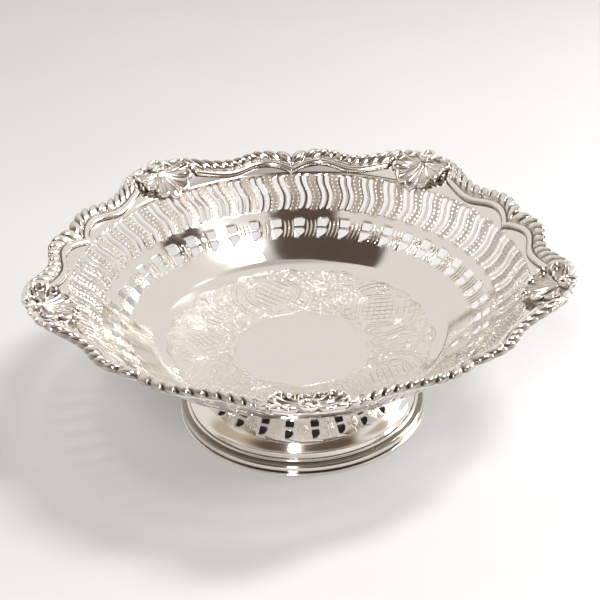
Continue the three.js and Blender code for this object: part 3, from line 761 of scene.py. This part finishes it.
bowl = wrapped_sheet(
    "bowl_sheet", BOWL_COLUMNS, len(bowl_rows) - 1, bowl_open, bowl_spot, bowl_darkening)
matted = bowl.data.attributes.new("matting", "FLOAT", "POINT")
for i, darkened in enumerate(bowl.data.attributes["tarnish_and_shade"].data):
    matted.data[i].value = 1 if darkened.value else 0
bpy.ops.object.mode_set(mode="EDIT")
bpy.ops.mesh.select_mode(type="EDGE")
bpy.ops.mesh.select_all(action="DESELECT")
bpy.ops.object.mode_set(mode="OBJECT")
for edge in bowl.data.edges:
    a, b = (bowl.data.vertices[i].co for i in edge.vertices)
    edge.select = max(a.xy.length, b.xy.length) < (FLOOR_FLAT + 0.5) * MM
bpy.ops.object.mode_set(mode="EDIT")
bpy.ops.mesh.edge_face_add()
bpy.ops.mesh.select_all(action="SELECT")
bpy.ops.mesh.normals_make_consistent(inside=False)
bpy.ops.object.mode_set(mode="OBJECT")
floor_face = max(bowl.data.polygons, key=lambda face: face.area)
if floor_face.normal.z < 0:
    bpy.ops.object.mode_set(mode="EDIT")
    bpy.ops.mesh.flip_normals()
    bpy.ops.object.mode_set(mode="OBJECT")
thicken(bowl, BOWL_SHEET, BOWL_EDGE)
finish_piece(bowl, sheet_silver, "silver_plate", "bowl")

# Chasing of the bowl: lines and dots struck into the sheet with punches. The strips between the slots
# have two rows of dots, the bars between the windows three bowed strokes, and the floor a broad ring
# of trellis, scrolls, sprays and stippled ground about a plain middle.
DOTS_DOWN = 10
DOT_PITCH = 1.7
DOT_ASIDE = 1.2
DOT_HALF = 0.75
DOT_WIDTH = 1.3
DOT_HEIGHT = 0.4
BAR_STROKES = [-1.75, 0, 1.75]
BAR_STEPS = [0, 0.1, 0.24, 0.4, 0.56, 0.72, 0.88, 1]
BAR_WIDTH = 1.15
BAR_HEIGHT = 0.3
wall_strokes = []
for unit in range(SLOT_PAIRS):
    bearing = unit * 360 / SLOT_PAIRS
    for side in (-1, 1):
        for i in range(DOTS_DOWN):
            down = SLOT_TOP + 0.1 + i * DOT_PITCH
            middle = slot_sway(down) + side * DOT_ASIDE
            dot = [(middle, down - DOT_HALF), (middle, down), (middle, down + DOT_HALF)]
            wall_strokes.append((bearing, dot, DOT_WIDTH, DOT_HEIGHT))
for unit in range(WINDOW_PAIRS):
    bar = unit * 360 / WINDOW_PAIRS + WINDOW_TURN
    top, base = SQUARE_TOP + 0.6, pointed_top + POINTED_HEIGHT + 0.2
    for aside in BAR_STROKES:
        points = [
            (aside + 0.9 * t * t - 0.5 * math.sin(t * math.pi), top + (base - top) * t)
            for t in BAR_STEPS
        ]
        wall_strokes.append((bar, points, BAR_WIDTH, BAR_HEIGHT))


def lay_on_wall(bearing, x, y, lift):
    return bowl_profile.lifted(wall_end - y, bearing, x, lift)


wall_chasing = chased("wall_chasing", wall_strokes, lay_on_wall)
finish_piece(wall_chasing, chased_silver, "silver_plate")


def arc(x, y, radius, start, end, steps):
    turns = [math.radians(start + (end - start) * i / steps) for i in range(steps + 1)]
    return [(x + radius * math.cos(turn), y + radius * math.sin(turn)) for turn in turns]


def scroll(x, y, radius, start, end, curl):
    """A C-scroll: an arc whose two ends curl up inside it."""
    points = []
    for turn, way in ((start, -1), (end, 1)):
        centre = (x + (radius - curl) * math.cos(math.radians(turn)),
                  y + (radius - curl) * math.sin(math.radians(turn)))
        spiral = []
        for i in range(1, 15):
            angle = math.radians(turn + way * i * 36)
            size = curl * (1 - i / 16)
            spiral.append((centre[0] + size * math.cos(angle), centre[1] + size * math.sin(angle)))
        if way < 0:
            points = list(reversed(spiral))
        else:
            points += arc(x, y, radius, start, end, 14) + spiral
    return points


def leaf(x, y, heading, length, bow):
    """A leaf stroke from a point, its heading in degrees from straight outward."""
    turn = math.radians(heading)
    points = []
    for i in range(6):
        t = i / 5
        along, aside = length * t, bow * math.sin(t * math.pi)
        points.append((x + along * math.sin(turn) + aside * math.cos(turn),
                       y + along * math.cos(turn) - aside * math.sin(turn)))
    return points


FLOOR_TURN = 15.0
AT_TRELLIS = 180
AT_ROSETTE = 216
TRELLIS_RADIUS = 40.2
TRELLIS_ACROSS = 11.2
TRELLIS_ALONG = 10.6
ROSETTE_RADIUS = 40.4
floor_strokes = []


def add_floor(bearing, points, width, height, mirrored=True):
    """A stroke at each of the five like places of the ring, with its mirror image."""
    for side in range(SIDES):
        origin = bearing + FLOOR_TURN + side * SIDE_ANGLE
        floor_strokes.append((origin, points, width, height))
        if mirrored:
            floor_strokes.append((origin, [(-x, y) for x, y in points], width, height))


def ring_edges(fold):
    """Inner and outer edge of the chased ring, scalloped, at a bearing off a trellis."""
    swell = abs(math.cos(math.radians(fold * 10))) ** 0.6
    broad = abs(math.cos(math.radians(fold * 5))) ** 0.6
    return 28.4 - 2.6 * broad, 49.4 + 2.4 * broad + 2.0 * swell


def off_trellis(x, y):
    """How far a point lies from the middle of a trellis: less than one inside its oval."""
    return (x / TRELLIS_ACROSS) ** 2 + (y / TRELLIS_ALONG) ** 2


# The lines along the two edges of the ring, by their inset and width.
for edge, way, edge_lines in ((0, 1, ((0.6, 0.35),)), (1, -1, ((0.2, 0.5), (1.2, 0.4)))):
    for inset, width in edge_lines:
        for middle in (0, MID_SIDE):
            line = []
            for i in range(33):
                fold = -18 + 36 * i / 32
                turn = math.radians(fold)
                radius = ring_edges(middle + fold)[edge] + way * inset
                line.append((radius * math.sin(turn), radius * math.cos(turn)))
            add_floor(AT_TRELLIS + middle, line, width, width * 0.2, False)
# The trellises: two lines round each, and slanting lines that cross inside.
for scale, width in ((1.0, 0.55), (0.87, 0.4)):
    oval = []
    for i in range(19):
        t = math.radians(-90 + 180 * i / 18)
        wave = 1 + 0.07 * math.cos(4 * t)
        oval.append((
            TRELLIS_ACROSS * scale * math.cos(t) * wave,
            TRELLIS_RADIUS + TRELLIS_ALONG * scale * math.sin(t) * wave))
    add_floor(AT_TRELLIS, oval, width, width * 0.24)
for i in range(-5, 6):
    across = []
    for j in range(-60, 61):
        x, y = (i * 2.5 + j * 0.4) * 0.7071, (j * 0.4 - i * 2.5) * 0.7071
        if off_trellis(x, y) < 0.66:
            across.append((x, TRELLIS_RADIUS + y))
    if len(across) > 6:
        add_floor(AT_TRELLIS, across[::3] + across[-1:], 0.7, 0.12)
# The scrolls beside the trellises and round the rosettes: middle, radius, start, end and curl.
TRELLIS_SCROLLS = [
    (2.6, 40.2, 13.2, -68, 66, 3.2), (3.4, 40.2, 14.6, -56, 54, 2.8),
    (9.4, 49.4, 3.2, -120, 120, 1.6), (8.2, 30.4, 3.2, -150, 60, 1.6),
]
ROSETTE_SCROLLS = [
    (1.4, 40.4, 6.6, -62, 62, 2.2), (2.0, 40.4, 7.7, -48, 48, 1.9),
    (3.2, 49.6, 3.0, 20, 220, 1.4), (3.4, 31.2, 2.8, -220, -20, 1.4),
]
for bearing, scrolls in ((AT_TRELLIS, TRELLIS_SCROLLS), (AT_ROSETTE, ROSETTE_SCROLLS)):
    for spec in scrolls:
        add_floor(bearing, scroll(*spec), 0.7, 0.1)
# The rosettes: a ring with eight leaves inside.
add_floor(AT_ROSETTE, arc(0, ROSETTE_RADIUS, 4.9, -90, 90, 12), 0.5, 0.11)
for turn in range(0, 360, 45):
    x, y = math.sin(math.radians(turn)), math.cos(math.radians(turn))
    petal = leaf(0.9 * x, ROSETTE_RADIUS + 0.9 * y, turn, 3.2, 0.3)
    add_floor(AT_ROSETTE, petal, 1.2, 0.1, False)
# Sprays of three leaves, outside and inside each trellis and rosette and between the scrolls.
for heading in (-36, 0, 36):
    for bearing in (AT_TRELLIS, AT_ROSETTE):
        add_floor(bearing, leaf(0, 49.6, heading, 3.2, 0.2), 0.9, 0.09, False)
        add_floor(bearing, leaf(0, 30.6, 180 + heading, 2.8, 0.2), 0.9, 0.09, False)
for x, y, heading in ((15.4, 29.6, 140), (18.4, 45.4, 60), (16.4, 48.2, 30), (13.6, 49.0, 5)):
    for fan in (-40, 0, 40):
        add_floor(AT_TRELLIS, leaf(x, y, heading + fan, 2.6, 0.25), 0.8, 0.08)


def lay_on_floor(bearing, x, y, lift):
    turn = math.radians(bearing)
    out = Vector((math.sin(turn), -math.cos(turn), 0))
    aside = Vector((math.cos(turn), math.sin(turn), 0))
    return (out * y + aside * x + Vector((0, 0, bowl_height(math.hypot(x, y)) + lift))) * MM


def off_side(bearing):
    """A bearing as its angle off the nearest trellis."""
    return (bearing - AT_TRELLIS - FLOOR_TURN + MID_SIDE) % SIDE_ANGLE - MID_SIDE


# The ground between the lines is struck all over with a fine punch, ring by ring.
GROUND_RINGS = 32
GROUND_START = 25.4
GROUND_PITCH = 0.9
GROUND_SPACING = 0.95
GROUND_MARGIN = 0.5
LINE_CLEARANCE = 0.62
dice = random.Random(5)
struck = KDTree(sum(len(stroke[1]) for stroke in floor_strokes))
for origin, points, width, height in floor_strokes:
    for point in points:
        struck.insert(lay_on_floor(origin, *point, 0), 0)
struck.balance()
for step in range(GROUND_RINGS):
    count = round(2 * math.pi * (GROUND_START + step * GROUND_PITCH) / GROUND_SPACING)
    for i in range(count):
        radius = GROUND_START + step * GROUND_PITCH + dice.uniform(-0.25, 0.25)
        turn = (i + dice.uniform(-0.3, 0.3)) * 360 / count
        fold = off_side(turn)
        inner, outer = ring_edges(fold)
        x = radius * math.sin(math.radians(fold))
        y = radius * math.cos(math.radians(fold)) - TRELLIS_RADIUS
        if not inner + GROUND_MARGIN < radius < outer - GROUND_MARGIN or off_trellis(x, y) < 1.15:
            continue
        if struck.find(lay_on_floor(turn, 0, radius, 0))[2] < LINE_CLEARANCE * MM:
            continue
        size = dice.uniform(0.3, 0.44)
        dot = [(0, radius - size), (0, radius), (0, radius + size)]
        floor_strokes.append((turn, dot, size * 2, size * dice.uniform(0.1, 0.36)))

floor_chasing = chased("floor_chasing", floor_strokes, lay_on_floor)
finish_piece(floor_chasing, chased_silver, "silver_plate")

MATTING_SIDES = 480
MATTING_ROWS = 10
MATTING_LIFT = 0.02


def matting_spot(column, row):
    """The ring's own ground, a hair above the sheet and dull from the punch."""
    turn = column * 360 / MATTING_SIDES
    inner, outer = ring_edges(off_side(turn))
    return lay_on_floor(turn, 0, inner + (outer - inner) * row / MATTING_ROWS, MATTING_LIFT)


def uncut(column, row):
    return False


floor_matting = wrapped_sheet("floor_matting", MATTING_SIDES, MATTING_ROWS, uncut, matting_spot)
finish_piece(floor_matting, chased_silver, "silver_plate")

# Border strips: cast in lengths of silver-plated metal and soldered on the flange, one to a side.
# Each has a plain inner wire and a row of slanting gadroons that lean away from the notch in the
# middle.
STRIP_HALF = 27.0
LOBES = 20
LOBE_STEPS = 12
LOBE_LEAN = 1.2
LOBE_ROWS = 14
LOBE_MIDDLE = 0.58
LOBE_BASE = 0.55
LOBE_RISE = 2.8
LOBE_UNDER = 0.9
WIRE_SIZE = 1.2
WIRE_UP = 0.7
WIRE_ANGLES = [205, 180, 155, 130, 105, 80, 55, 30, 5]
STRIP_SMOOTH = 75


def strip_section(bearing, swell):
    """Points of the section: share of the lean, distance out from the wire, height on the flange."""
    width = outline_radius(bearing) - wire_radius(bearing)
    ring = []
    for angle in WIRE_ANGLES:
        turn = math.radians(angle)
        ring.append((0, WIRE_SIZE * math.cos(turn), WIRE_UP + WIRE_SIZE * math.sin(turn)))
    ring.append((0, WIRE_SIZE + 0.2, 0.3))
    middle = width * LOBE_MIDDLE
    for i in range(LOBE_ROWS):
        turn = math.radians(176 - i * 214 / (LOBE_ROWS - 1))
        if math.cos(turn) > 0:
            reach = (width - middle) * (0.5 + 0.5 * swell)
        else:
            reach = middle - WIRE_SIZE - 0.35
        rise = LOBE_RISE * (0.34 + 0.66 * swell) if math.sin(turn) > 0 else LOBE_UNDER
        out, up = middle + reach * math.cos(turn), LOBE_BASE + rise * math.sin(turn)
        lean = min(1, max(0, (out - WIRE_SIZE) / (width - WIRE_SIZE)))
        ring.append((lean, out, up))
    ring.append((0.6, width - EDGE_INSET + 0.3, -0.2))
    ring.append((0.5, width - EDGE_INSET + 0.2, 0.12))
    ring.append((0, WIRE_SIZE * 0.5, 0.12))
    return ring


strip_rows = len(strip_section(MID_SIDE, 1))


def lobe_swell(column):
    """None between two lobes, one along the crest of a lobe."""
    share = column / LOBE_STEPS % 1
    return math.sqrt(max(0, 1 - (2 * share - 1) ** 2))


def strip_spot(column, row):
    off = -STRIP_HALF + column / LOBE_STEPS * 2 * STRIP_HALF / LOBES
    along = MID_SIDE + off
    lean, out, up = strip_section(along, lobe_swell(column))[row % strip_rows]
    bearing = along + lean * LOBE_LEAN * 2 * STRIP_HALF / LOBES * math.tanh(off / 4)
    share = out / (outline_radius(along) - wire_radius(along))
    radius = wire_radius(bearing) + share * (outline_radius(bearing) - wire_radius(bearing))
    return place(radius, bearing, bowl_height(radius) + up)


def strip_shade(column, row):
    """Painted shade under the wire, in the groove behind it, between the lobes and down their outer
    side.
    """
    row %= strip_rows
    if row < 3:
        return (0.95, 0.95, 0.5)[row]
    if row < 8:
        return 0
    if row < 11:
        return 0.55
    lower = min(1, max(0, (row - 15) / 7))
    return min(1, (1.3 - 1.3 * lobe_swell(column)) ** 0.75 + 0.8 * lower)


def close_up(angle):
    """Fill the open ends of the piece in hand and smooth it, but for edges over the angle."""
    bpy.ops.object.mode_set(mode="EDIT")
    bpy.ops.mesh.select_mode(type="VERT")
    bpy.ops.mesh.select_all(action="SELECT")
    bpy.ops.mesh.fill_holes(sides=0)
    bpy.ops.mesh.normals_make_consistent(inside=False)
    bpy.ops.object.mode_set(mode="OBJECT")
    bpy.ops.object.shade_smooth_by_angle(angle=math.radians(angle))


def ring_copies(piece, stem):
    """Copies of a piece turned to the other four sides, each with its own mesh."""
    made = [piece]
    for side in range(1, SIDES):
        twin = piece.copy()
        twin.data = piece.data.copy()
        twin.name = twin.data.name = f"{stem}_{side + 1}"
        bpy.context.collection.objects.link(twin)
        turn = math.radians(SIDE_ANGLE * side)
        for vertex in twin.data.vertices:
            x, y = vertex.co.xy
            vertex.co.x = x * math.cos(turn) - y * math.sin(turn)
            vertex.co.y = x * math.sin(turn) + y * math.cos(turn)
        made.append(twin)
    return made


strip = wrapped_sheet(
    "border_gadroons_1", LOBES * LOBE_STEPS, strip_rows, uncut, strip_spot, strip_shade)
close_up(STRIP_SMOOTH)
for number, piece in enumerate(ring_copies(strip, "border_gadroons"), 1):
    finish_piece(piece, cast_silver, "cast_silver_plate", f"border_strip_{number}")

# Shells: cast fans of silver-plated metal, soldered over the corners where the border strips end.
# Thin ribs spread inward from a rolled eye near the tip, and leaves stand on each side.
SHELL_EYE = 99.2
SHELL_FLUTES = 7
SHELL_SPREAD = 94.0
SHELL_LENGTH = 14.6
FLUTE_STEPS = 14
FLUTE_SHARES = [0, 0.04, 0.08, 0.12, 0.17, 0.25, 0.38, 0.5, 0.62, 0.75, 0.83, 0.88, 0.92, 0.96]
BACK_STEPS = 30
SHELL_RINGS = 26
SHELL_TIP = 5.4
SHELL_NOTCH = 0.88
SHELL_UNDER = 0.88
SHELL_BOSS = 0.16
SHELL_RISE = 2.4
SHELL_SMOOTH = 60
shell_columns = SHELL_FLUTES * FLUTE_STEPS + BACK_STEPS


def shell_turn(column):
    """Turn of a column from straight inward: the flutes of the fan, then the back of the shell."""
    fan = SHELL_FLUTES * FLUTE_STEPS
    if column <= fan:
        flute, step = divmod(column, FLUTE_STEPS)
        return -SHELL_SPREAD + 2 * SHELL_SPREAD * (flute + FLUTE_SHARES[step]) / SHELL_FLUTES
    return SHELL_SPREAD + (360 - 2 * SHELL_SPREAD) * (column - fan) / BACK_STEPS


def shell_flute(turn):
    """Place across a flute of the fan, from one ridge to the next, or none outside the fan."""
    off = (turn + 180) % 360 - 180
    if abs(off) > SHELL_SPREAD + 1e-6:
        return None
    return (off + SHELL_SPREAD) / (2 * SHELL_SPREAD) * SHELL_FLUTES % 1


def shell_reach(turn):
    """Distance from the eye to the edge of the shell, by the turn from straight inward."""
    off = abs((turn + 180) % 360 - 180)
    flute = shell_flute(turn)
    if flute is not None:
        lobe = math.sin(flute * math.pi) ** 0.7 if 0 < flute < 1 else 0
        return SHELL_LENGTH * (1 - 0.1 * (off / SHELL_SPREAD) ** 2) * (SHELL_NOTCH + 0.12 * lobe)
    share = (off - SHELL_SPREAD) / (180 - SHELL_SPREAD)
    side = SHELL_LENGTH * 0.9 * SHELL_NOTCH
    return side + (SHELL_TIP - side) * min(1, share * 1.6) ** 0.8


def shell_height(turn, share):
    """Height over the flange by turn and share of the reach: ribs, hollows and a rolled edge."""
    flute = shell_flute(turn)
    if flute is None:
        return 0.4 + 1.3 * math.cos(min(1, share) * math.pi / 2) ** 0.8
    near = min(flute, 1 - flute)
    sweep = SHELL_RISE - 1.2 * math.sin(math.pi * share * 0.9) + 2.2 * share ** 2
    floor = min(1, max(0, (near - 0.03) / 0.13))
    floor *= min(1, max(0, (0.95 - share) / 0.07))
    hollow = -(0.5 + 1.5 * share) * (1 - math.cos(floor * math.pi)) / 2
    cup = -0.35 * share * math.sin(math.pi * flute) if share < 0.9 else 0
    edge = -1.3 * (max(0, share - 0.96) / 0.04) ** 2
    return sweep + hollow + cup + edge


def shell_place(x, y, up):
    """A point of the front shell from its offsets across and inward of the eye, in mm."""
    radius = math.hypot(x, SHELL_EYE - y)
    bearing = math.degrees(math.atan2(x, SHELL_EYE - y))
    return place(radius, bearing, bowl_height(min(max(radius, 80), 108)) + up)


def shell_share(row):
    """Share of the reach at a row, closer together towards the edge."""
    return 1 - (1 - row / SHELL_RINGS) ** 1.5


def shell_spot(column, row):
    turn = shell_turn(column)
    angle = math.radians(turn)
    reach = shell_reach(turn)
    if row > SHELL_RINGS:
        under = (math.sin(angle) * reach * SHELL_UNDER, math.cos(angle) * reach * SHELL_UNDER)
        return shell_place(*under, 0.05)
    share = shell_share(row)
    up = shell_height(turn, share)
    if share < SHELL_BOSS:
        up = up * (share / SHELL_BOSS) + (1 - share / SHELL_BOSS) * SHELL_RISE
    return shell_place(math.sin(angle) * reach * share, math.cos(angle) * reach * share, up)


def shell_shade(column, row):
    """Painted shade round the edge and in the hollows, more so towards the ends of the flutes."""
    flute = shell_flute(shell_turn(column))
    if row > SHELL_RINGS - 1:
        return 0.9
    if flute is None:
        return 0.5
    share = shell_share(row)
    if share >= 0.92:
        return 0
    return (0.2 + 0.8 * max(0, share - 0.45) / 0.47) * math.sin(math.pi * flute) ** 0.8


shell = wrapped_sheet(
    "corner_shell_1", shell_columns, SHELL_RINGS + 1, uncut, shell_spot, shell_shade)
close_up(SHELL_SMOOTH)

# The leaves on one side: offsets across and inward of the eye, heading, length, width and height.
LEAVES = [
    (13.4, -1.6, 12, 6.4, 2.6, 2.9), (15.6, 0.2, 28, 4.8, 1.9, 2.6), (13.4, 1.2, 40, 4.6, 1.8, 2.8),
    (16.6, 2.2, 50, 4.2, 1.7, 2.4), (14.2, 3.6, 72, 4.0, 1.6, 2.4), (12.4, 5.6, 98, 3.4, 1.4, 2.0),
    (15.8, 5.4, 92, 3.2, 1.5, 1.9), (9.2, -3.0, 4, 7.0, 3.0, 2.9), (5.4, -4.2, -12, 5.6, 2.4, 2.6),
    (18.2, 0.6, 8, 3.4, 1.7, 2.1),
]


def add_to_shell(maker, x, y, up, heading, size):
    """Add a primitive to the front shell, set on the flange at an offset from the eye."""
    maker()
    part = bpy.context.object
    turn = math.radians(heading)
    for vertex in part.data.vertices:
        a, b, c = vertex.co.x * size[0], vertex.co.y * size[1], vertex.co.z * size[2]
        vertex.co = shell_place(
            x + a * math.cos(turn) - b * math.sin(turn),
            y + a * math.sin(turn) + b * math.cos(turn),
            up + c)
    bpy.ops.object.shade_smooth()
    # Painted shade: each leaf and the eye get darker towards their lowest point, down on the flange.
    darkened = part.data.attributes.new("tarnish_and_shade", "FLOAT", "POINT")
    lowest = min(vertex.co.z for vertex in part.data.vertices)
    for vertex in part.data.vertices:
        darkened.data[vertex.index].value = max(0, 0.9 - (vertex.co.z - lowest) / MM * 0.35)
    return part


def ball():
    bpy.ops.object.select_all(action="DESELECT")
    bpy.ops.mesh.primitive_uv_sphere_add(segments=14, ring_count=8, radius=1)


def hoop():
    bpy.ops.object.select_all(action="DESELECT")
    bpy.ops.mesh.primitive_torus_add(
        major_segments=28, minor_segments=8, major_radius=2.6, minor_radius=0.62)


# The rolled eye: a ball in a hoop, a little outward of the point that the ribs spread from.
EYE_INWARD = -2.6
parts = [
    add_to_shell(ball, 0, EYE_INWARD, 2.0, 0, (1.5, 1.5, 1.3)),
    add_to_shell(hoop, 0, EYE_INWARD, 2.6, 0, (1.2, 1.2, 1.7)),
]
for x, y, heading, length, width, height in LEAVES:
    for side in (-1, 1):
        way = heading if side > 0 else 180 - heading
        size = (length / 2, width / 2, height / 2)
        parts.append(add_to_shell(ball, side * x, y, 0.5 + height * 0.35, way, size))
bpy.ops.object.select_all(action="DESELECT")
for part in parts:
    part.select_set(True)
shell.select_set(True)
bpy.context.view_layer.objects.active = shell
bpy.ops.object.join()
for number, piece in enumerate(ring_copies(shell, "corner_shell"), 1):
    finish_piece(piece, cast_silver, "cast_silver_plate", f"shell_{number}")
